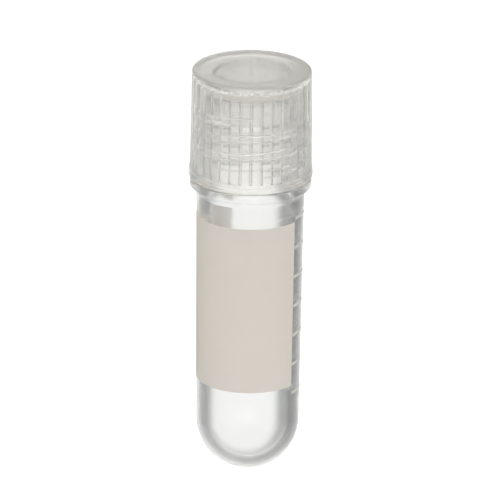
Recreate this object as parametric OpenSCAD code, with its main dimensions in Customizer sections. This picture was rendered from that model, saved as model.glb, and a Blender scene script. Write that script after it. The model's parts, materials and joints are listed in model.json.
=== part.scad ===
// Round-bottomed 2 ml sample vial with an external screw thread and a ribbed cap.
// Every sub-part is drawn upright about the vial's own axis, with the round bottom at 0.
// laid() then tips it over, because a round bottom can't stand: the vial lies on the
// ball of its bottom and on the cap's flange, with its written side facing up.

/* [Tube] */
// Radius of the parallel band below the collar, the size that drops into a rack
land_r = 6.25; // [6.22:0.01:6.4]
// Radius of the round bottom
bottom_r = 5.98; // [5.9:0.01:6.1]
// Radius of the tube at the top of the printed stretch
print_top_r = 6.2; // [6.12:0.01:6.21]
// Height at which the printed stretch ends and the parallel band starts
print_top_z = 32.3; // [32.2:0.1:32.6]
// Height at which the parallel band ends and the collar's underside starts
land_top_z = 34.1; // [33.5:0.05:34.2]
// Radius of the collar that the cap closes down to
collar_r = 7.06; // [6.9:0.01:7.15]
// Height of the collar's flat upper face
collar_top_z = 35.83; // [35.6:0.01:35.9]
// Radius of the bore at the mouth
mouth_bore_r = 4.76; // [4.7:0.01:4.85]
// Radius of the bore where its round end begins
end_bore_r = 4.66; // [4.5:0.01:4.7]
// Thickness of the round bottom, on the axis
bottom_t = 1.35; // [1.2:0.05:1.6]

/* [Neck] */
// Radius of the neck between the thread's turns
neck_r = 5.45; // [5.4:0.01:5.5]
// Height of the lip that the washer seals on
lip_z = 46.9; // [46.7:0.05:47]
// Rise of the thread in one turn
pitch = 2.15; // [2:0.05:2.2]
// Radius of the neck's thread at its crest
male_crest_r = 5.88; // [5.8:0.01:5.92]
// Height of the neck's lowest turn, where it faces the printed side
male_front_z = 39; // [38.8:0.1:39.2]

/* [Cap] */
// Height of the closed vial, from the round bottom to the top of the cap
vial_h = 49; // [48.9:0.05:49.2]
// Radius of the cap at its top edge
cap_top_r = 6.93; // [6.9:0.01:6.98]
// Radius of the cap at the foot of its ribs
rib_foot_r = 7.07; // [7:0.01:7.1]
// Radius of the cap's flange at its widest
flange_r = 7.2; // [7.15:0.01:7.25]
// Thickness of the cap's flat roof
roof_t = 1.2; // [1.1:0.05:1.3]
// Radius inside the cap's skirt, between the thread's turns
skirt_r = 6.1; // [6.05:0.01:6.15]
// Radius of the cap's thread at its crest
female_crest_r = 5.62; // [5.6:0.01:5.68]
// Number of ribs round the cap
rib_count = 36; // [30:1:40]
// Half the width of the groove between two ribs, which is also its depth
groove_r = 0.17; // [0.12:0.01:0.2]
// Radius of the short spigot under the roof that centres the washer
spigot_r = 4.55; // [4.5:0.01:4.6]

/* [Print] */
// Thickness of the printed ink
ink_t = 0.05; // [0.04:0.01:0.05]
// Lower edge of the writing panel
panel_z0 = 11.2; // [11:0.1:12]
// Upper edge of the writing panel
panel_z1 = 31.5; // [30:0.1:31.7]
// Angle of the panel's right edge, from the middle of the printed side
panel_right = 56; // [50:1:60]
// Angle that the panel wraps round the tube
panel_wrap = 211; // [180:1:240]
// Height of the lowest graduation mark
first_mark_z = 10.2; // [10:0.05:10.4]
// Distance from one graduation mark to the next
mark_pitch = 3.62; // [3.5:0.02:3.62]
// Number of graduation marks
mark_count = 7; // [4:1:7]

/* [Hidden] */
$fn = 96;

// collar, neck and lip
collar_edge_z = 35.25;
collar_round_r = 0.5;
lip_round = 0.2;

// cap heights: the skirt stops just above the collar, the flange is widest a little higher
cap_foot_z = collar_top_z + 0.12;
flange_round_r = 0.5;
flange_z = cap_foot_z + flange_round_r;
ledge_z = 37.2;
ledge_r = flange_r - 0.07;
top_edge_r = 0.35;
rib_top_z = vial_h - 0.9;
roof_z = vial_h - roof_t;
skirt_mouth_r = skirt_r + 0.2;
skirt_mouth_h = 0.6;

// washer: a little short of the gap between lip and roof, so that it isn't squeezed here
washer_gap = 0.03;
washer_bore_r = spigot_r + 0.05;
washer_r = 5.75;
spigot_bore_r = 3.75;
spigot_foot_z = lip_z - 1.1;
spigot_lead = 0.25;

// threads: both ridges have sloping flanks, and their roots are sunk into the wall
crest_w = 0.5;
flank_slope = 0.64;
root_sink = 0.15;
steps_per_turn = 48;
fade_steps = 6;
male_turns = 3.05;
male_start_turn = -0.3;
female_turns = 2.1;
female_start_turn = 0;
// the cap's ridge sits this far below the neck's, so that tightening pulls the cap down
female_drop = 0.8;

// print
mark_h = 0.35;
mark_gap = 1.5;
mark_wrap = 27;

// The pose at rest: the lean at which the ball and the flange both touch the ground,
// and the middle of the length that the leaning vial covers
flange_reach = norm([flange_r, flange_z - bottom_r]);
lean = atan2(flange_r, flange_z - bottom_r) - asin(bottom_r/flange_reach);
far_end = (vial_h - bottom_r - top_edge_r)*cos(lean) + (cap_top_r - top_edge_r)*sin(lean) + top_edge_r;
mid_length = (far_end - bottom_r)/2;

module laid() {
    translate([0, -mid_length, bottom_r])
        rotate([lean - 90, 0, 0])
            translate([0, 0, -bottom_r])
                children();
}

// Points of an arc in a profile, with its centre at radius cr and height cz
function arc(cr, cz, r, a0, a1, n = 6) =
    [for (i = [0:n]) let (a = a0 + (a1 - a0)*i/n) [cr + r*cos(a), cz + r*sin(a)]];

// Radius of the tapering tube at height z, up to the top of the printed stretch
function tube_r(z) = bottom_r + (print_top_r - bottom_r)*(z - bottom_r)/(print_top_z - bottom_r);

// A thread's ridge, winding up and to the right round the axis. It is mid_z high at the
// side that faces the print, and turn 0 starts there. Its crest fades out at both ends.
module ridge(wall_r, crest_r, mid_z, start_turn, turns) {
    out = sign(crest_r - wall_r);
    root_r = wall_r - out*root_sink;
    count = round(turns*steps_per_turn);
    points = [
        for (i = [0:count])
            let (
                turn = start_turn + i/steps_per_turn,
                angle = turn*360 - 90,
                fade = min(1, i/fade_steps, (count - i)/fade_steps),
                r = wall_r - out*root_sink/2 + (crest_r - wall_r + out*root_sink/2)*fade,
                root_half = crest_w/2 + abs(crest_r - root_r)*flank_slope,
                crest_half = crest_w/2 + abs(crest_r - r)*flank_slope,
                z = mid_z + turn*pitch
            )
            for (corner = [[root_r, -root_half], [r, -crest_half], [r, crest_half], [root_r, root_half]])
                [corner[0]*cos(angle), corner[0]*sin(angle), z + corner[1]]
    ];
    sides = [
        for (i = [0:count - 1], k = [0:3])
            let (a = i*4 + k, b = i*4 + (k + 1)%4, c = b + 4, d = a + 4)
            for (face = out > 0 ? [[a, b, c], [a, c, d]] : [[c, b, a], [d, c, a]]) face
    ];
    last = count*4;
    ends = out > 0
        ? [[2, 1, 0], [3, 2, 0], [last, last + 1, last + 2], [last, last + 2, last + 3]]
        : [[0, 1, 2], [0, 2, 3], [last + 2, last + 1, last], [last + 3, last + 2, last]];
    polyhedron(points = points, faces = concat(sides, ends), convexity = 10);
}

// A thin coat of ink on the tapering tube, from height z0 to z1, over a wrap of degrees
// that ends at the angle right, counted from the middle of the printed side
module ink(z0, z1, right, wrap) {
    rotate([0, 0, right - wrap - 90])
        rotate_extrude(angle = wrap)
            polygon([[tube_r(z0), z0], [tube_r(z0) + ink_t, z0], [tube_r(z1) + ink_t, z1], [tube_r(z1), z1]]);
}

module tube_outside() {
    translate([0, 0, bottom_r]) sphere(r = bottom_r);
    rotate_extrude()
        polygon(concat(
            [[0, bottom_r], [bottom_r, bottom_r], [print_top_r, print_top_z]],
            [[land_r, print_top_z + 0.1], [land_r, land_top_z]],
            arc(collar_r - collar_round_r, collar_edge_z, collar_round_r, -40, 0),
            [[collar_r, collar_top_z], [neck_r, collar_top_z]],
            arc(neck_r - lip_round, lip_z - lip_round, lip_round, 0, 90, 4),
            [[0, lip_z]]
        ));
}

module bore() {
    end_z = bottom_t + end_bore_r;
    translate([0, 0, end_z]) sphere(r = end_bore_r);
    translate([0, 0, end_z]) cylinder(h = lip_z - end_z, r1 = end_bore_r, r2 = mouth_bore_r);
    // lead-in at the lip, and a clean run out of the mouth
    translate([0, 0, lip_z - lip_round]) cylinder(h = 1, r1 = mouth_bore_r, r2 = mouth_bore_r + 1);
}

module vial_body() {
    color([0.93, 0.94, 0.93, 0.6])
        laid()
            difference() {
                union() {
                    tube_outside();
                    ridge(neck_r, male_crest_r, male_front_z, male_start_turn, male_turns);
                }
                bore();
            }
}

module cap_outside() {
    rotate_extrude()
        polygon(concat(
            [[0, cap_foot_z]],
            arc(flange_r - flange_round_r, flange_z, flange_round_r, -90, 0),
            [[ledge_r, ledge_z], [rib_foot_r, ledge_z + 0.06]],
            arc(cap_top_r - top_edge_r, vial_h - top_edge_r, top_edge_r, 0, 90, 5),
            [[0, vial_h]]
        ));
}

// The grooves follow the cap's taper and run out into its plain top band
module rib_grooves() {
    run = rib_top_z - ledge_z;
    taper = atan2(rib_foot_r - cap_top_r, vial_h - ledge_z);
    for (i = [0:rib_count - 1])
        rotate([0, 0, i*360/rib_count - 90])
            translate([rib_foot_r, 0, ledge_z + 0.06])
                rotate([0, -taper, 0])
                    cylinder(h = run, r = groove_r, $fn = 24);
}

module cap_hollow() {
    translate([0, 0, cap_foot_z - 1]) cylinder(h = roof_z - cap_foot_z + 1, r = skirt_r);
    translate([0, 0, cap_foot_z - 1]) cylinder(h = 1 + skirt_mouth_h, r = skirt_mouth_r);
}

module spigot() {
    difference() {
        union() {
            translate([0, 0, spigot_foot_z + spigot_lead])
                cylinder(h = roof_z - spigot_foot_z - spigot_lead + 0.5, r = spigot_r);
            translate([0, 0, spigot_foot_z])
                cylinder(h = spigot_lead, r1 = spigot_r - spigot_lead, r2 = spigot_r);
        }
        translate([0, 0, spigot_foot_z - 1]) cylinder(h = roof_z - spigot_foot_z + 1, r = spigot_bore_r);
    }
}

module screw_cap() {
    color([0.86, 0.85, 0.82, 0.7])
        laid()
            union() {
                difference() {
                    cap_outside();
                    cap_hollow();
                    rib_grooves();
                }
                spigot();
                ridge(skirt_r, female_crest_r, male_front_z - female_drop, female_start_turn, female_turns);
            }
}

module sealing_washer() {
    thick = roof_z - lip_z - 2*washer_gap;
    color([0.9, 0.9, 0.88, 0.8])
        laid()
            translate([0, 0, lip_z + washer_gap])
                difference() {
                    cylinder(h = thick, r = washer_r);
                    translate([0, 0, -1]) cylinder(h = thick + 2, r = washer_bore_r);
                }
}

module writing_panel() {
    color([0.85, 0.82, 0.78])
        laid()
            ink(panel_z0, panel_z1, panel_right, panel_wrap);
}

module graduation_marks() {
    color([0.95, 0.95, 0.93])
        laid()
            for (i = [0:mark_count - 1])
                let (z = first_mark_z + i*mark_pitch)
                    ink(z - mark_h/2, z + mark_h/2, panel_right + mark_gap + mark_wrap, mark_wrap);
}

vial_body();
screw_cap();
sealing_washer();
writing_panel();
graduation_marks();
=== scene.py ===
"""A closed cryovial lying on a pale studio floor: smooth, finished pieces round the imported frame."""

import json
import math

import bmesh
import bpy
from mathutils import Matrix, Vector


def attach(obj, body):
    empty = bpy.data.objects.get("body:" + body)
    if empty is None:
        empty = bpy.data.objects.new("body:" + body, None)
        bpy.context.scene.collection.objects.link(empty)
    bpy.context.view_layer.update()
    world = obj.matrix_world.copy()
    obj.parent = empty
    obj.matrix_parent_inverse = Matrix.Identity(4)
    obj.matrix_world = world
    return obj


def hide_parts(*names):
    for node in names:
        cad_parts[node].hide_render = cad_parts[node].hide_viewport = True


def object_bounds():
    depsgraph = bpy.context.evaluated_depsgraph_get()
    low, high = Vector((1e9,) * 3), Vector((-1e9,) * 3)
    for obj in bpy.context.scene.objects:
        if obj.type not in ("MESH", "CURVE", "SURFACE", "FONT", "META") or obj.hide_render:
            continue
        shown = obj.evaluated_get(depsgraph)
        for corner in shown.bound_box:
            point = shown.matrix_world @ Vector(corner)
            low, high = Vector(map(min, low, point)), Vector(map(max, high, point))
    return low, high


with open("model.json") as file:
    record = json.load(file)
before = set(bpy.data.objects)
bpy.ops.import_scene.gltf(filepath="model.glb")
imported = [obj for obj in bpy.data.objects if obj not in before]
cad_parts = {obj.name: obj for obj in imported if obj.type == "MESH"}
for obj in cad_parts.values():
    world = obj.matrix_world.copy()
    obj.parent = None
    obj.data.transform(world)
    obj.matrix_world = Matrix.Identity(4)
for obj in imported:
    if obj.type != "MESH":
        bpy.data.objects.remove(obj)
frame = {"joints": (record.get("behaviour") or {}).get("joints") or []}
cad_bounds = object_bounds()

# ---------------------------------------------------------------- sizes, mm
# They are as in the part's source, but for the collar's top and the turns of the cap's thread
MM = 0.001
VIAL_H = 49.0
BOTTOM_R = 5.98
PRINT_TOP_R, PRINT_TOP_Z = 6.2, 32.3
LAND_R, LAND_TOP_Z = 6.25, 34.1
COLLAR_R, COLLAR_EDGE_Z, COLLAR_TOP_Z = 7.06, 35.25, 35.83
COLLAR_ROUND = 0.5
BOTTOM_T, END_BORE_R, MOUTH_BORE_R = 1.35, 4.66, 4.76
NECK_R, LIP_Z, LIP_ROUND = 5.45, 46.9, 0.2
# RUN_OUT is the share of a turn over which a thread rises at its ends
PITCH, RUN_OUT = 2.15, 0.125
CREST_W, FLANK_SLOPE, FLANK_SOFT = 0.5, 0.64, 0.06
THREAD_MID_Z, THREAD_TURNS = 39.0, 3.05
NECK_THREAD = dict(wall=NECK_R, crest=5.88, mid_z=THREAD_MID_Z, start=-0.3, turns=THREAD_TURNS)

CAP_FOOT_Z = COLLAR_TOP_Z + 0.12
# The collar's top is drawn up to here, close under the cap's foot, so that the cap looks screwed tight
SEAT_Z = CAP_FOOT_Z - 0.05
FLANGE_R, FLANGE_ROUND = 7.2, 0.5
FLANGE_Z = CAP_FOOT_Z + FLANGE_ROUND
LEDGE_R, LEDGE_Z = FLANGE_R - 0.07, 37.2
RIB_START_Z = LEDGE_Z + 0.06
RIB_FOOT_R, CAP_TOP_R, TOP_EDGE_R = 7.07, 6.93, 0.35
RIB_TOP_Z = VIAL_H - 0.9
RIB_COUNT, GROOVE_R = 36, 0.17
ROOF_Z = VIAL_H - 1.2
SKIRT_R, SKIRT_MOUTH, MOUTH_DEPTH = 6.1, 6.3, 0.6
SKIRT_THREAD_TOP_Z = 45.7
SPIGOT_R, SPIGOT_BORE_R, SPIGOT_FOOT_Z, SPIGOT_LEAD = 4.55, 3.75, LIP_Z - 1.1, 0.25
# The cap's thread lies this far below the neck's, between its turns
THREAD_DROP = 0.8
# It runs about one turn further up than in the part's source, where it has 2.1 turns
CAP_THREAD = dict(
    wall=SKIRT_R, crest=5.62, mid_z=THREAD_MID_Z - THREAD_DROP, start=0.0, turns=THREAD_TURNS)

WASHER_GAP, WASHER_R, WASHER_EDGE, SPIGOT_GAP = 0.03, 5.75, 0.06, 0.05
INK_T, INK_SINK = 0.05, 0.012
PANEL_Z0, PANEL_Z1, PANEL_RIGHT, PANEL_WRAP = 11.2, 31.5, 56.0, 211.0
FIRST_MARK_Z, MARK_PITCH, MARK_COUNT = 10.2, 3.62, 7
MARK_H, MARK_GAP, MARK_WRAP = 0.35, 1.5, 27.0

# Rows of faces along the plain walls, along the walls that carry a thread, and close to an edge
PLAIN_ROW, THREAD_ROW, EDGE_ROW = 1.6, 0.06, 0.1
ROOF_ROWS_R, RIB_ROWS_Z = (3.2, 5.6), (39, 41, 43, 45, 47)
TUBE_STEPS, WASHER_STEPS, PANEL_STEPS, MARK_STEPS = 192, 144, 120, 18

# ---------------------------------------------------------------- the vial's axis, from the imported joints
joints = {joint["name"]: joint for joint in frame["joints"]}
along = Vector(joints["cap_turn"]["axis"]).normalized()
roof_middle = Vector(joints["cap_turn"]["pos_m"])
across = Vector((1, 0, 0))
print_side = across.cross(along)
bottom_end = roof_middle - along * VIAL_H * MM
turned = Matrix((across, -print_side, along)).transposed().to_4x4()
# Takes a piece drawn upright in millimetres, its print facing -Y, to where the vial lies
LAID = Matrix.Translation(bottom_end) @ turned @ Matrix.Scale(MM, 4)


def on_axis(z):
    """The point of the lying vial's axis that is z mm above the bottom when the vial stands."""
    return LAID @ Vector((0, 0, z))


# ---------------------------------------------------------------- camera
ELEVATION, CAMERA_ROLL = math.radians(20.5), math.radians(0.77)
AIM_Z, AIM_RIGHT = 26.7, 0.04
CAMERA_DISTANCE = 1.0
FRAME_WIDTH = 58.05 * MM
SENSOR = 36.0
camera_data = bpy.data.cameras.new("studio_camera")
camera = bpy.data.objects.new("studio_camera", camera_data)
bpy.context.scene.collection.objects.link(camera)
bpy.context.scene.camera = camera
camera_data.sensor_width = SENSOR
camera_data.lens = SENSOR * CAMERA_DISTANCE / FRAME_WIDTH
camera_data.clip_start, camera_data.clip_end = 0.01, 20.0
look_from = print_side * math.cos(ELEVATION) + along * math.sin(ELEVATION)
image_up = along * math.cos(ELEVATION) - print_side * math.sin(ELEVATION)
right = across * math.cos(CAMERA_ROLL) + image_up * math.sin(CAMERA_ROLL)
up = image_up * math.cos(CAMERA_ROLL) - across * math.sin(CAMERA_ROLL)
target = on_axis(AIM_Z) + right * AIM_RIGHT * MM
place = Matrix((right, up, look_from)).transposed().to_4x4()
place.translation = target + look_from * CAMERA_DISTANCE
camera.matrix_world = place


# ---------------------------------------------------------------- shaping
def arc(r0, z0, radius, a0, a1, steps):
    """Points of an arc in a profile, with its centre at radius r0 and height z0."""
    return [
        (r0 + radius * math.cos(math.radians(a0 + (a1 - a0) * i / steps)),
         z0 + radius * math.sin(math.radians(a0 + (a1 - a0) * i / steps)))
        for i in range(steps + 1)
    ]


def run(start, end, spacing):
    """Points of a straight stretch of a profile, at most spacing apart, without its two ends."""
    steps = max(1, math.ceil(math.dist(start, end) / spacing))
    return [
        (start[0] + (end[0] - start[0]) * i / steps, start[1] + (end[1] - start[1]) * i / steps)
        for i in range(1, steps)
    ]


def spun(profile, steps, sweep=360.0, start=0.0, closed=False):
    """The solid that a profile sweeps round the vial's axis, upright and in millimetres."""
    bm = bmesh.new()
    verts = [bm.verts.new((r, 0.0, z)) for r, z in profile]
    for a, b in zip(verts, verts[1:] + (verts[:1] if closed else [])):
        if a is not b:
            bm.edges.new((a, b))
    bmesh.ops.rotate(
        bm, verts=verts, cent=(0, 0, 0), matrix=Matrix.Rotation(math.radians(start), 3, "Z"))
    bmesh.ops.spin(
        bm, geom=bm.verts[:] + bm.edges[:], cent=(0, 0, 0), axis=(0, 0, 1), dvec=(0, 0, 0),
        angle=math.radians(sweep), steps=steps, use_merge=sweep == 360.0,
        use_normal_flip=False, use_duplicate=False,
    )
    bmesh.ops.remove_doubles(bm, verts=bm.verts, dist=1e-4)
    open_edges = [edge for edge in bm.edges if edge.is_boundary]
    if open_edges:
        bmesh.ops.holes_fill(bm, edges=open_edges, sides=0)
    bmesh.ops.recalc_face_normals(bm, faces=bm.faces)
    return bm


def wind_thread(bm, wall, crest, mid_z, start, turns):
    """Raises a right-handed thread, rounded as moulded ones are, from the wall of that radius.
    Turn 0 starts at the printed side."""
    out = math.copysign(1.0, crest - wall)
    height = abs(crest - wall)
    crest_edge = CREST_W / 2 - FLANK_SOFT
    foot_edge = CREST_W / 2 + height * FLANK_SLOPE + FLANK_SOFT
    for vert in bm.verts:
        r = math.hypot(vert.co.x, vert.co.y)
        if abs(r - wall) > 1e-3:
            continue
        angle = math.degrees(math.atan2(vert.co.y, vert.co.x))
        first = (angle + 90.0) / 360.0
        rise = 0.0
        for lap in range(-2, 5):
            turn = first + lap
            if not start <= turn <= start + turns:
                continue
            fade = min(1.0, (turn - start) / RUN_OUT, (start + turns - turn) / RUN_OUT)
            down = abs(vert.co.z - mid_z - turn * PITCH)
            up_flank = min(1.0, max(0.0, (foot_edge - down) / (foot_edge - crest_edge)))
            rise = max(rise, height * fade * up_flank**2 * (3 - 2 * up_flank))
        scale = (r + out * rise) / r
        vert.co.x *= scale
        vert.co.y *= scale


def crowd_round_ribs(bm, offsets):
    """Moves the even steps of a spin together at the grooves, and presses the grooves in."""
    per_rib = len(offsets)
    taper = (RIB_FOOT_R - CAP_TOP_R) / (VIAL_H - LEDGE_Z)
    inner_walls_r = SKIRT_MOUTH + 0.3
    face_tolerance = 0.05
    steps = per_rib * RIB_COUNT
    for vert in bm.verts:
        r = math.hypot(vert.co.x, vert.co.y)
        if r < 1e-3:
            continue
        step = round(math.degrees(math.atan2(vert.co.y, vert.co.x) + math.tau) / 360.0 * steps) % steps
        rib, place_in_rib = divmod(step, per_rib)
        angle = math.radians(rib * 360.0 / RIB_COUNT + offsets[place_in_rib])
        z = vert.co.z
        if r > inner_walls_r and LEDGE_Z + 0.03 < z < RIB_TOP_Z + GROOVE_R:
            surface = RIB_FOOT_R - (z - LEDGE_Z) * taper
            if abs(r - surface) < face_tolerance:
                aside = abs(offsets[place_in_rib])
                aside = math.radians(min(aside, 360.0 / RIB_COUNT - aside)) * surface
                end = max(0.0, z - RIB_TOP_Z)
                r -= math.sqrt(max(0.0, GROOVE_R**2 - aside**2 - end**2))
        vert.co.x, vert.co.y = r * math.cos(angle), r * math.sin(angle)


def finish_piece(bm, name, material, sharp=62.0):
    """Lays the upright piece down, and links it as a smooth-shaded object with its material."""
    bmesh.ops.transform(bm, matrix=LAID, verts=bm.verts)
    mesh = bpy.data.meshes.new(name)
    bm.to_mesh(mesh)
    bm.free()
    mesh.polygons.foreach_set("use_smooth", [True] * len(mesh.polygons))
    mesh.set_sharp_from_angle(angle=math.radians(sharp))
    mesh.materials.append(material)
    piece = bpy.data.objects.new(name, mesh)
    bpy.context.scene.collection.objects.link(piece)
    return piece


# ---------------------------------------------------------------- materials
def srgb(code):
    """A colour from its sRGB hex code, as the linear values that shaders take."""
    values = [int(code[i:i + 2], 16) / 255 for i in (1, 3, 5)]
    return tuple(v / 12.92 if v <= 0.04045 else ((v + 0.055) / 1.055) ** 2.4 for v in values) + (1.0,)


def add(tree, kind, links=None, **settings):
    """Adds a node. links gives each input a value or another node's output."""
    node = tree.nodes.new(kind)
    for key, value in settings.items():
        setattr(node, key, value)
    for key, value in (links or {}).items():
        if isinstance(value, bpy.types.NodeSocket):
            tree.links.new(value, node.inputs[key])
        else:
            node.inputs[key].default_value = value
    return node


def new_material(name):
    """An empty material, and its node tree."""
    material = bpy.data.materials.new(name)
    material.use_nodes = True
    material.node_tree.nodes.clear()
    return material, material.node_tree


def speckle(tree, size_mm, detail=2.0):
    """Noise whose blobs are about size_mm across, 0 to 1."""
    place = add(tree, "ShaderNodeTexCoord")
    noise = add(tree, "ShaderNodeTexNoise", {
        "Vector": place.outputs["Object"], "Scale": 1.0 / (size_mm * MM), "Detail": detail,
        "Roughness": 0.5}, noise_dimensions="3D")
    return noise.outputs["Fac"]


def spread(tree, value, low, high):
    """Takes noise about 0.5 to a range of numbers."""
    return add(tree, "ShaderNodeMapRange", {
        "Value": value, "From Min": 0.3, "From Max": 0.7, "To Min": low, "To Max": high}).outputs["Result"]


def blend_colours(tree, value, first, second):
    """Two hex colours, blended as value goes from 0 to 1."""
    mix = add(tree, "ShaderNodeMix", {"Factor": value}, data_type="RGBA")
    mix.inputs["A"].default_value = srgb(first)
    mix.inputs["B"].default_value = srgb(second)
    return mix.outputs["Result"]


# The cap's roof is frosted from this far under its top, mm, and fully so from the second depth on
FROST_FROM, FROST_FULL, FROST_SHARE = 1.1, 0.3, 0.2
# The share of the light on the ink that comes out at its other face
INK_LETS_THROUGH = 0.6


def clear_polypropylene():
    """Natural polypropylene, injection-moulded against a polished steel mould: clear and glossy,
    with a faint milky haze and slow ripples where the melt flowed."""
    material, tree = new_material("clear_polypropylene")
    haze = speckle(tree, 2.5)
    flow = speckle(tree, 4.0, detail=1.0)
    ripple = add(tree, "ShaderNodeBump", {"Height": flow, "Strength": 0.08, "Distance": 0.05 * MM})
    shader = add(tree, "ShaderNodeBsdfPrincipled", {
        "Base Color": blend_colours(tree, haze, "#FCFDFE", "#FFFFFF"),
        "Roughness": spread(tree, haze, 0.15, 0.2),
        "Normal": ripple.outputs["Normal"],
        "Transmission Weight": 0.95, "IOR": 1.49})
    add(tree, "ShaderNodeOutputMaterial", {"Surface": shader.outputs["BSDF"]})
    return material


def milky_polypropylene():
    """Thicker natural polypropylene in the cap: it lets light through, but its crystals scatter it,
    so that what lies behind shows soft and grey. The skin is satin from a fine spark-eroded mould."""
    material, tree = new_material("milky_polypropylene")
    cloud = speckle(tree, 1.5)
    grain = speckle(tree, 0.12, detail=1.0)
    skin = add(tree, "ShaderNodeBump", {"Height": grain, "Strength": 0.15, "Distance": 0.01 * MM})
    place = add(tree, "ShaderNodeTexCoord")
    height = add(
        tree, "ShaderNodeVectorMath", {0: place.outputs["Object"], 1: along}, operation="DOT_PRODUCT")
    roof = roof_middle.dot(along)
    frost = add(tree, "ShaderNodeMapRange", {
        "Value": height.outputs["Value"], "From Min": roof - FROST_FROM * MM,
        "From Max": roof - FROST_FULL * MM, "To Min": 0.0, "To Max": FROST_SHARE})
    rough = add(tree, "ShaderNodeMath", {
        0: frost.outputs["Result"], 1: spread(tree, cloud, 0.08, 0.12)}, operation="ADD")
    # The roof is the thickest part, so it is greyer
    tint = add(tree, "ShaderNodeMix", {"Factor": frost.outputs["Result"]}, data_type="RGBA")
    tree.links.new(blend_colours(tree, cloud, "#FEFDFA", "#FFFEFC"), tint.inputs["A"])
    tint.inputs["B"].default_value = srgb("#D6D4CE")
    shader = add(tree, "ShaderNodeBsdfPrincipled", {
        "Base Color": tint.outputs["Result"],
        "Roughness": rough.outputs["Value"],
        "Normal": skin.outputs["Normal"],
        "Transmission Weight": 0.86, "IOR": 1.49})
    add(tree, "ShaderNodeOutputMaterial", {"Surface": shader.outputs["BSDF"]})
    return material


def translucent_silicone():
    """Moulded silicone rubber, die-cut from sheet: soft, cloudy white and satin."""
    material, tree = new_material("translucent_silicone")
    cloud = speckle(tree, 0.8)
    shader = add(tree, "ShaderNodeBsdfPrincipled", {
        "Base Color": blend_colours(tree, cloud, "#F8F7F4", "#FBFAF8"),
        "Roughness": spread(tree, cloud, 0.35, 0.5),
        "Transmission Weight": 0.5, "IOR": 1.41})
    add(tree, "ShaderNodeOutputMaterial", {"Surface": shader.outputs["BSDF"]})
    return material


def matte_ink(name, low, high, tooth):
    """Screen-printed ink, cured matte so that a pen takes: a fine tooth, and slight changes in
    how thick the coat lies."""
    material, tree = new_material(name)
    coat = speckle(tree, 3.0, detail=3.0)
    fine = speckle(tree, 0.09)
    bump = add(tree, "ShaderNodeBump", {"Height": fine, "Strength": tooth, "Distance": 0.01 * MM})
    colour = blend_colours(tree, coat, low, high)
    shader = add(tree, "ShaderNodeBsdfPrincipled", {
        "Base Color": colour,
        "Roughness": spread(tree, fine, 0.6, 0.78),
        "Normal": bump.outputs["Normal"],
        "IOR": 1.45})
    through = add(tree, "ShaderNodeBsdfTranslucent", {"Color": colour})
    mixed = add(tree, "ShaderNodeMixShader", {"Fac": INK_LETS_THROUGH})
    tree.links.new(shader.outputs["BSDF"], mixed.inputs[1])
    tree.links.new(through.outputs["BSDF"], mixed.inputs[2])
    # The coat scatters light once, not again at its other face
    face = add(tree, "ShaderNodeNewGeometry")
    once = add(tree, "ShaderNodeMixShader", {"Fac": face.outputs["Backfacing"]})
    tree.links.new(mixed.outputs["Shader"], once.inputs[1])
    tree.links.new(add(tree, "ShaderNodeBsdfTransparent").outputs["BSDF"], once.inputs[2])
    add(tree, "ShaderNodeOutputMaterial", {"Surface": once.outputs["Shader"]})
    return material


tube_plastic = clear_polypropylene()
cap_plastic = milky_polypropylene()
washer_rubber = translucent_silicone()
panel_coat = matte_ink("warm_white_panel_ink", "#FBF4EC", "#FDF7F0", 0.3)
mark_coat = matte_ink("white_mark_ink", "#F0F0EC", "#F6F6F3", 0.2)

# ---------------------------------------------------------------- vial_body
outside = (
    arc(0, BOTTOM_R, BOTTOM_R, -90, 0, 36)
    + run((BOTTOM_R, BOTTOM_R), (PRINT_TOP_R, PRINT_TOP_Z), PLAIN_ROW)
    + [(PRINT_TOP_R - 0.001, PRINT_TOP_Z - EDGE_ROW), (PRINT_TOP_R, PRINT_TOP_Z)]
    + [(LAND_R, PRINT_TOP_Z + EDGE_ROW), (LAND_R, PRINT_TOP_Z + 2 * EDGE_ROW)]
    + [(LAND_R, LAND_TOP_Z - EDGE_ROW), (LAND_R, LAND_TOP_Z)]
    + arc(COLLAR_R - COLLAR_ROUND, COLLAR_EDGE_Z, COLLAR_ROUND, -40, 0, 6)
    + [(COLLAR_R, SEAT_Z - EDGE_ROW), (COLLAR_R - 0.03, SEAT_Z - 0.03), (COLLAR_R - EDGE_ROW, SEAT_Z)]
    + [(NECK_R + EDGE_ROW, SEAT_Z), (NECK_R, SEAT_Z)]
    + run((NECK_R, SEAT_Z), (NECK_R, LIP_Z - LIP_ROUND), THREAD_ROW)
    + arc(NECK_R - LIP_ROUND, LIP_Z - LIP_ROUND, LIP_ROUND, 0, 90, 5)
)
bore = (
    [(MOUTH_BORE_R + LIP_ROUND, LIP_Z), (MOUTH_BORE_R, LIP_Z - LIP_ROUND)]
    + run((MOUTH_BORE_R, LIP_Z - LIP_ROUND), (END_BORE_R, BOTTOM_T + END_BORE_R), PLAIN_ROW)
    + arc(0, BOTTOM_T + END_BORE_R, END_BORE_R, 0, -90, 32)
)
bm = spun(outside + bore, TUBE_STEPS)
wind_thread(bm, **NECK_THREAD)
tube = finish_piece(bm, "clear_tube", tube_plastic)
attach(tube, "vial")
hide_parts("vial_body")

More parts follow.
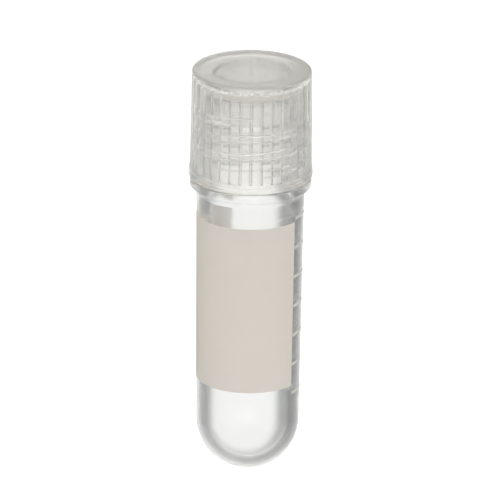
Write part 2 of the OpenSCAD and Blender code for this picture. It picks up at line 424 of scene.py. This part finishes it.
# ---------------------------------------------------------------- screw_cap
# Steps of the spin inside one rib, degrees from its groove; the steps gather at the groove
RIB_OFFSETS = (0.0, 0.5, 1.0, 1.386, 2.2, 3.4, 5.0, 6.6, 7.8, 8.614, 9.0, 9.5)
rib_face = [(RIB_FOOT_R, RIB_START_Z)]
top_arc = arc(CAP_TOP_R - TOP_EDGE_R, VIAL_H - TOP_EDGE_R, TOP_EDGE_R, 0, 90, 8)
groove_end = [RIB_TOP_Z, RIB_TOP_Z + 0.06, RIB_TOP_Z + 0.12, RIB_TOP_Z + GROOVE_R]
side_slope = (RIB_FOOT_R - CAP_TOP_R) / (VIAL_H - TOP_EDGE_R - RIB_START_Z)
for z in [LEDGE_Z + 0.2, *RIB_ROWS_Z, *groove_end]:
    rib_face.append((RIB_FOOT_R - (z - RIB_START_Z) * side_slope, z))
cap_outside = (
    [(0, VIAL_H)] + [(r, VIAL_H) for r in ROOF_ROWS_R] + top_arc[::-1]
    + rib_face[::-1]
    + [(LEDGE_R - 0.02, LEDGE_Z + 0.02), (LEDGE_R, LEDGE_Z - 0.03)]
    + arc(FLANGE_R - FLANGE_ROUND, FLANGE_Z, FLANGE_ROUND, 0, -90, 7)
)
mouth_top_z = CAP_FOOT_Z + MOUTH_DEPTH
cap_inside = (
    [(SKIRT_MOUTH, CAP_FOOT_Z), (SKIRT_MOUTH, mouth_top_z), (SKIRT_R, mouth_top_z)]
    + run((SKIRT_R, mouth_top_z), (SKIRT_R, SKIRT_THREAD_TOP_Z), THREAD_ROW)
    + [(SKIRT_R, SKIRT_THREAD_TOP_Z), (SKIRT_R, ROOF_Z - EDGE_ROW)]
    + [(SKIRT_R, ROOF_Z), (SKIRT_R - EDGE_ROW, ROOF_Z)]
    + [(SPIGOT_R, ROOF_Z), (SPIGOT_R, SPIGOT_FOOT_Z + SPIGOT_LEAD)]
    + [(SPIGOT_R - SPIGOT_LEAD, SPIGOT_FOOT_Z), (SPIGOT_BORE_R, SPIGOT_FOOT_Z)]
    + [(SPIGOT_BORE_R, ROOF_Z), (0, ROOF_Z)]
)
bm = spun(cap_outside + cap_inside, len(RIB_OFFSETS) * RIB_COUNT)
crowd_round_ribs(bm, RIB_OFFSETS)
wind_thread(bm, **CAP_THREAD)
cap = finish_piece(bm, "ribbed_cap", cap_plastic)
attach(cap, "cap")
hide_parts("screw_cap")

# ---------------------------------------------------------------- sealing_washer
foot, top = LIP_Z + WASHER_GAP, ROOF_Z - WASHER_GAP
bore_r = SPIGOT_R + SPIGOT_GAP
bm = spun([(bore_r, foot), (WASHER_R, foot), (WASHER_R, top), (bore_r, top)], WASHER_STEPS, closed=True)
rims = [edge for edge in bm.edges if abs(edge.verts[0].co.z - edge.verts[1].co.z) < 1e-6
        and abs(edge.verts[0].co.to_2d().length - edge.verts[1].co.to_2d().length) < 1e-6]
bmesh.ops.bevel(
    bm, geom=rims, offset=WASHER_EDGE, segments=2, affect="EDGES", profile=0.5, material=-1,
    offset_type="OFFSET", clamp_overlap=True)
washer = finish_piece(bm, "silicone_washer", washer_rubber)
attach(washer, "washer")
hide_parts("sealing_washer")


# ---------------------------------------------------------------- writing_panel, graduation_marks
def tube_r(z):
    """The tube's outer radius at that height."""
    return BOTTOM_R + (PRINT_TOP_R - BOTTOM_R) * (z - BOTTOM_R) / (PRINT_TOP_Z - BOTTOM_R)


def inked(z0, z1, right_edge, wrap, steps):
    """A coat of ink on the tube, whose back is sunk a little into the plastic, so no air shows between."""
    low, high = tube_r(z0), tube_r(z1)
    edge = 0.02
    profile = (
        [(low - INK_SINK, z0), (low + INK_T - edge, z0), (low + INK_T, z0 + edge)]
        + run((low + INK_T, z0 + edge), (high + INK_T, z1 - edge), PLAIN_ROW)
        + [(high + INK_T, z1 - edge), (high + INK_T - edge, z1), (high - INK_SINK, z1)]
        + run((high - INK_SINK, z1), (low - INK_SINK, z0), PLAIN_ROW)
    )
    return spun(profile, steps, sweep=wrap, start=right_edge - wrap - 90.0, closed=True)


bm = inked(PANEL_Z0, PANEL_Z1, PANEL_RIGHT, PANEL_WRAP, PANEL_STEPS)
panel = finish_piece(bm, "ink_panel", panel_coat, sharp=40.0)
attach(panel, "vial")
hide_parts("writing_panel")

marks_mesh = bpy.data.meshes.new("marks_so_far")
all_marks = bmesh.new()
for count in range(MARK_COUNT):
    middle = FIRST_MARK_Z + count * MARK_PITCH
    mark_right = PANEL_RIGHT + MARK_GAP + MARK_WRAP
    one = inked(middle - MARK_H / 2, middle + MARK_H / 2, mark_right, MARK_WRAP, MARK_STEPS)
    one.to_mesh(marks_mesh)
    one.free()
    all_marks.from_mesh(marks_mesh)
bpy.data.meshes.remove(marks_mesh)
marks = finish_piece(all_marks, "ink_marks", mark_coat, sharp=40.0)
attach(marks, "vial")
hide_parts("graduation_marks")


# ---------------------------------------------------------------- studio
FLOOR_SIZE, FLOOR_DROP = 6.0, 0.00002
FLOOR_GLOW, FLOOR_BRIGHTNESS = 0.45, 1.25
WHITE = "#FFFFFC"
WORLD_LIGHT = 0.87
LAMP_SIZE, LAMP_ENERGY = 0.5, 0.72
# Painted shade: grey bands painted into the floor's colour beside the vial, seen only through clear plastic,
# where they draw its dark edges. In mm: how far they are moved sideways, how far past the middle of the
# round bottom they run straight before they curve round it, and the distance that the stops of their share
# cover
SHADE_BAND_SHIFT, SHADE_BAND_REACH, SHADE_BAND_SPAN = -1.0, 5.0, 34.0
# Their share by distance from that line, mm
SHADE_BAND_STOPS = ((5.0, 0.0), (6.8, 1.0), (19.0, 1.0), (32.0, 0.0))
# Their tones at the left and at the right, which blend this far to both sides of the line, mm
SHADE_BAND_TONES, SHADE_BAND_TONE_HALF = ("#7E8080", "#4C4E50"), 6.0
# The part of that share that is left beside the cap, from the collar at 0 to the roof at 1
SHADE_BAND_BY_CAP = ((0.001, 1.0), (0.1, 0.88), (0.3, 0.74), (0.5, 0.74), (0.7, 1.0))
# The part that is left beyond the round bottom, and where it changes, mm from where the cards curve
SHADE_BAND_END_SHARE, SHADE_BAND_END_FADE = 0.8, (-6, 2)


def plane(name, size_x, size_y, at, material):
    """A flat piece of the studio, which is no part of the vial."""
    bm = bmesh.new()
    bmesh.ops.create_grid(bm, x_segments=1, y_segments=1, size=0.5)
    bmesh.ops.scale(bm, vec=(size_x, size_y, 1), verts=bm.verts)
    bmesh.ops.translate(bm, vec=at, verts=bm.verts)
    mesh = bpy.data.meshes.new(name)
    bm.to_mesh(mesh)
    bm.free()
    mesh.materials.append(material)
    thing = bpy.data.objects.new(name, mesh)
    bpy.context.scene.collection.objects.link(thing)


def seen_as(tree, *kinds):
    """0 for rays that are none of the named kinds, else 1, or for a depth the count."""
    path = add(tree, "ShaderNodeLightPath")
    total = path.outputs[kinds[0]]
    for kind in kinds[1:]:
        larger = add(tree, "ShaderNodeMath", {0: total, 1: path.outputs[kind]}, operation="MAXIMUM")
        total = larger.outputs["Value"]
    return total


def painted_shade_bands(tree):
    """Painted shade: grey bands painted into the floor's colour, in place of dark cards, on both sides of
    the vial and round its bottom. Only light that has come through clear plastic shows them: they draw its
    dark edges. The right one reaches further in."""
    place = add(tree, "ShaderNodeTexCoord")
    parts = add(tree, "ShaderNodeSeparateXYZ", {0: place.outputs["Object"]})
    aside = add(tree, "ShaderNodeMath", {0: parts.outputs["X"], 1: SHADE_BAND_SHIFT * MM}, operation="SUBTRACT")
    round_end = on_axis(BOTTOM_R).y - SHADE_BAND_REACH * MM
    past_end = add(tree, "ShaderNodeMath", {0: round_end, 1: parts.outputs["Y"]}, operation="SUBTRACT")
    beyond = add(tree, "ShaderNodeMath", {0: past_end.outputs["Value"], 1: 0.0}, operation="MAXIMUM")
    flat = add(tree, "ShaderNodeCombineXYZ", {0: aside.outputs["Value"], 1: beyond.outputs["Value"]})
    away = add(tree, "ShaderNodeVectorMath", {0: flat.outputs["Vector"]}, operation="LENGTH")
    reach = add(tree, "ShaderNodeMath", {0: away.outputs["Value"], 1: SHADE_BAND_SPAN * MM}, operation="DIVIDE")
    by_distance = add(tree, "ShaderNodeValToRGB", {"Fac": reach.outputs["Value"]})
    along_cap = add(tree, "ShaderNodeMapRange", {
        "Value": parts.outputs["Y"], "From Min": on_axis(COLLAR_TOP_Z).y, "From Max": on_axis(VIAL_H).y})
    by_cap = add(tree, "ShaderNodeValToRGB", {"Fac": along_cap.outputs["Result"]})
    for ramp, span, greys in ((by_distance, SHADE_BAND_SPAN, SHADE_BAND_STOPS), (by_cap, 1.0, SHADE_BAND_BY_CAP)):
        stops = ramp.color_ramp.elements
        for at, grey in greys:
            stops.new(at / span).color = (grey, grey, grey, 1)
        stops.remove(stops[0])
        stops.remove(stops[-1])
    side = add(tree, "ShaderNodeMapRange", {
        "Value": parts.outputs["X"], "From Min": -SHADE_BAND_TONE_HALF * MM, "From Max": SHADE_BAND_TONE_HALF * MM})
    tone = blend_colours(tree, side.outputs["Result"], *SHADE_BAND_TONES)
    direct = add(tree, "ShaderNodeMath", {
        0: by_cap.outputs["Color"], 1: seen_as(tree, "Is Reflection Ray", "Diffuse Depth")},
        operation="SUBTRACT", use_clamp=True)
    share = add(tree, "ShaderNodeMath", {
        0: direct.outputs["Value"], 1: by_distance.outputs["Color"]}, operation="MULTIPLY")
    end_side = add(tree, "ShaderNodeMapRange", {
        "Value": parts.outputs["Y"], "From Min": round_end + SHADE_BAND_END_FADE[0] * MM,
        "From Max": round_end + SHADE_BAND_END_FADE[1] * MM, "To Min": SHADE_BAND_END_SHARE, "To Max": 1.0})
    share = add(tree, "ShaderNodeMath", {
        0: share.outputs["Value"], 1: end_side.outputs["Result"]}, operation="MULTIPLY")
    # Painted shade: here the grey of the bands takes the place of the floor's white
    under = add(tree, "ShaderNodeMix", {"Factor": share.outputs["Value"]}, data_type="RGBA")
    under.inputs["A"].default_value = srgb(WHITE)
    tree.links.new(tone, under.inputs["B"])
    return under.outputs["Result"]


def pale_floor():
    """Matte white paper sweep. It is white to the eye and keeps soft shadows; in clear plastic it is white
    but for the bands of painted shade beside the vial.
    """
    material, tree = new_material("pale_paper_sweep")
    paper = add(tree, "ShaderNodeBsdfDiffuse", {
        "Color": blend_colours(tree, speckle(tree, 30.0), "#E9E9E6", "#ECECE9")})
    to_camera = add(
        tree, "ShaderNodeMath", {0: seen_as(tree, "Is Camera Ray"), 1: FLOOR_GLOW}, operation="MULTIPLY")
    glow = add(tree, "ShaderNodeEmission", {
        "Color": srgb(WHITE), "Strength": to_camera.outputs["Value"]})
    lit = add(tree, "ShaderNodeAddShader")
    tree.links.new(paper.outputs["BSDF"], lit.inputs[0])
    tree.links.new(glow.outputs["Emission"], lit.inputs[1])
    # Light that something matte has scattered finds the floor as bright as the eye does
    scattered = add(
        tree, "ShaderNodeMath", {0: seen_as(tree, "Diffuse Depth"), 1: 1.0}, operation="MINIMUM")
    level = add(tree, "ShaderNodeMapRange", {
        "Value": scattered.outputs["Value"], "To Min": 1.0, "To Max": FLOOR_BRIGHTNESS})
    # All but camera rays see the floor as white light with the painted shade bands in it
    white = add(tree, "ShaderNodeEmission", {"Color": painted_shade_bands(tree), "Strength": level.outputs["Result"]})
    shown = add(tree, "ShaderNodeMixShader", {"Fac": seen_as(tree, "Is Camera Ray")})
    tree.links.new(white.outputs["Emission"], shown.inputs[1])
    tree.links.new(lit.outputs["Shader"], shown.inputs[2])
    add(tree, "ShaderNodeOutputMaterial", {"Surface": shown.outputs["Shader"]})
    return material


plane("paper_floor", FLOOR_SIZE, FLOOR_SIZE, (0, 0, cad_bounds[0].z - FLOOR_DROP), pale_floor())

world = bpy.data.worlds.new("soft_studio")
world.use_nodes = True
world.node_tree.nodes.clear()
bpy.context.scene.world = world
white_rays = seen_as(world.node_tree, "Is Camera Ray", "Is Glossy Ray", "Is Transmission Ray")
dome = add(world.node_tree, "ShaderNodeBackground", {"Color": srgb(WHITE), "Strength": WORLD_LIGHT})
plain = add(world.node_tree, "ShaderNodeBackground", {"Color": srgb(WHITE), "Strength": 1.0})
sky = add(world.node_tree, "ShaderNodeMixShader", {"Fac": white_rays})
world.node_tree.links.new(dome.outputs["Background"], sky.inputs[1])
world.node_tree.links.new(plain.outputs["Background"], sky.inputs[2])
add(world.node_tree, "ShaderNodeOutputWorld", {"Surface": sky.outputs["Shader"]})

lamp_data = bpy.data.lights.new("soft_key", "AREA")
lamp_data.shape = "DISK"
lamp_data.size = LAMP_SIZE
lamp_data.energy = LAMP_ENERGY
lamp = bpy.data.objects.new("soft_key", lamp_data)
bpy.context.scene.collection.objects.link(lamp)
lamp_at = Vector((0.04, 0.12, 0.47))
lamp.matrix_world = Matrix.Translation(lamp_at) @ lamp_at.to_track_quat("Z", "Y").to_matrix().to_4x4()

bpy.context.scene.view_settings.view_transform = "Standard"
# A line of sight crosses up to a dozen clear walls in the cap
bpy.context.scene.cycles.max_bounces = 28
bpy.context.scene.cycles.transmission_bounces = 28
bpy.context.scene.cycles.diffuse_bounces = 12
bpy.context.scene.cycles.glossy_bounces = 12
